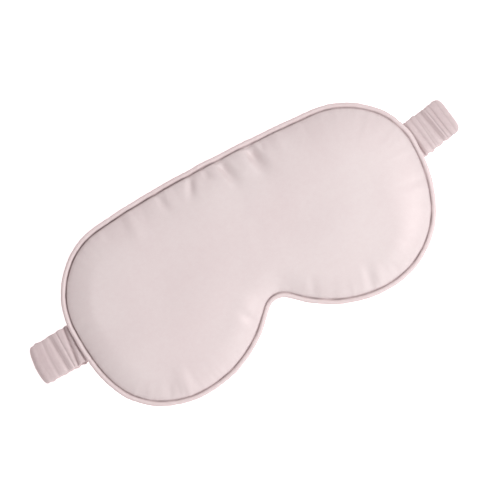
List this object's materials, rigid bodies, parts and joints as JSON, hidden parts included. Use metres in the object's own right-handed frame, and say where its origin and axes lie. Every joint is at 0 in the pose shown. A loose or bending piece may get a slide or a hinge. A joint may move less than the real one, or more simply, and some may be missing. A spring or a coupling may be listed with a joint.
{
  "type": "sleep eye mask",
  "caption": "Padded satin sleep eye mask with a nose notch, a corded piped edge and a gathered elastic head strap folded flat behind it.",
  "frame": {"origin": "on the surface that the mask lies on, under the middle of its bounding box", "axes": "+X along the mask's width to the wearer's right ear as seen from the front, +Y to the forehead edge, +Z out of the front panel"},
  "size_m": [0.259, 0.1076, 0.015],
  "materials": {
    "satin_front": "pale pink mulberry silk satin, charmeuse weave, soft sheen",
    "satin_back": "pale pink silk satin, soft sheen",
    "satin_strap": "pale pink silk satin, gathered over elastic",
    "satin_piping": "pale pink silk satin bias strip, fine diagonal weave",
    "wadding": "white polyester wadding, matt",
    "lining": "dark woven blackout lining, matt",
    "elastic": "white braided elastic, ribbed",
    "cord": "white twisted cotton cord, matt",
    "thread": "pale pink polyester sewing thread"
  },
  "bodies": {
    "mask": {"front_panel": "satin_front", "front_wadding": "wadding", "blackout_lining": "lining", "back_wadding": "wadding", "back_panel": "satin_back", "piping_cord": "cord", "piping_cover": "satin_piping", "seam_thread": "thread", "strap_tack_left": "thread", "strap_tack_right": "thread", "strap_cover_left_tail": "satin_strap", "strap_elastic_left_tail": "elastic", "strap_cover_right_tail": "satin_strap", "strap_elastic_right_tail": "elastic"},
    "strap_left_stub": {"strap_cover_left_stub": "satin_strap", "strap_elastic_left_stub": "elastic", "strap_cover_left_fold": "satin_strap", "strap_elastic_left_fold": "elastic"},
    "strap_left_side": {"strap_cover_left_side": "satin_strap", "strap_elastic_left_side": "elastic"},
    "strap_left_rear": {"strap_cover_left_rear": "satin_strap", "strap_elastic_left_rear": "elastic"},
    "strap_left_middle": {"strap_cover_left_middle": "satin_strap", "strap_elastic_left_middle": "elastic"},
    "strap_right_stub": {"strap_cover_right_stub": "satin_strap", "strap_elastic_right_stub": "elastic", "strap_cover_right_fold": "satin_strap", "strap_elastic_right_fold": "elastic"},
    "strap_right_side": {"strap_cover_right_side": "satin_strap", "strap_elastic_right_side": "elastic"},
    "strap_right_rear": {"strap_cover_right_rear": "satin_strap", "strap_elastic_right_rear": "elastic"},
    "strap_right_middle": {"strap_cover_right_middle": "satin_strap", "strap_elastic_right_middle": "elastic"}
  },
  "joints": [
    {"name": "strap_left_seam", "type": "hinge", "parent": "mask", "child": "strap_left_stub", "pos_m": [-0.10236, 0.00302, 0.0036], "axis": [0.0262, -0.9997, 0], "range_deg": [0, 90]},
    {"name": "strap_left_fold", "type": "hinge", "parent": "strap_left_stub", "child": "strap_left_side", "pos_m": [-0.12596, 0.0024, 0.0033], "axis": [-0.0262, 0.9997, 0], "range_deg": [0, 144.8], "deforming": ["strap_cover_left_fold", "strap_elastic_left_fold"]},
    {"name": "strap_left_side_bend", "type": "hinge", "parent": "strap_left_side", "child": "strap_left_rear", "pos_m": [-0.08397, 0.0035, 0.0015], "axis": [0.0262, -0.9997, 0], "range_deg": [0, 27.4]},
    {"name": "strap_left_rear_bend", "type": "hinge", "parent": "strap_left_rear", "child": "strap_left_middle", "pos_m": [-0.04199, 0.0046, 0.0015], "axis": [0.0262, -0.9997, 0], "range_deg": [0, 27.4]},
    {"name": "strap_right_seam", "type": "hinge", "parent": "mask", "child": "strap_right_stub", "pos_m": [0.10236, 0.00838, 0.0036], "axis": [-0.0262, 0.9997, 0], "range_deg": [0, 90]},
    {"name": "strap_right_fold", "type": "hinge", "parent": "strap_right_stub", "child": "strap_right_side", "pos_m": [0.12596, 0.009, 0.0033], "axis": [0.0262, -0.9997, 0], "range_deg": [0, 144.8], "deforming": ["strap_cover_right_fold", "strap_elastic_right_fold"]},
    {"name": "strap_right_side_bend", "type": "hinge", "parent": "strap_right_side", "child": "strap_right_rear", "pos_m": [0.08397, 0.0079, 0.0015], "axis": [-0.0262, 0.9997, 0], "range_deg": [0, 27.4]},
    {"name": "strap_right_rear_bend", "type": "hinge", "parent": "strap_right_rear", "child": "strap_right_middle", "pos_m": [0.04199, 0.0068, 0.0015], "axis": [-0.0262, 0.9997, 0], "range_deg": [0, 27.4]}
  ],
  "couplings": [
    {"joint": "strap_right_seam", "follows": "strap_left_seam", "ratio": 1},
    {"joint": "strap_left_fold", "follows": "strap_left_seam", "ratio": 1.6079},
    {"joint": "strap_left_side_bend", "follows": "strap_left_seam", "ratio": 0.30393},
    {"joint": "strap_left_rear_bend", "follows": "strap_left_seam", "ratio": 0.30393},
    {"joint": "strap_right_fold", "follows": "strap_left_seam", "ratio": 1.6079},
    {"joint": "strap_right_side_bend", "follows": "strap_left_seam", "ratio": 0.30393},
    {"joint": "strap_right_rear_bend", "follows": "strap_left_seam", "ratio": 0.30393}
  ]
}
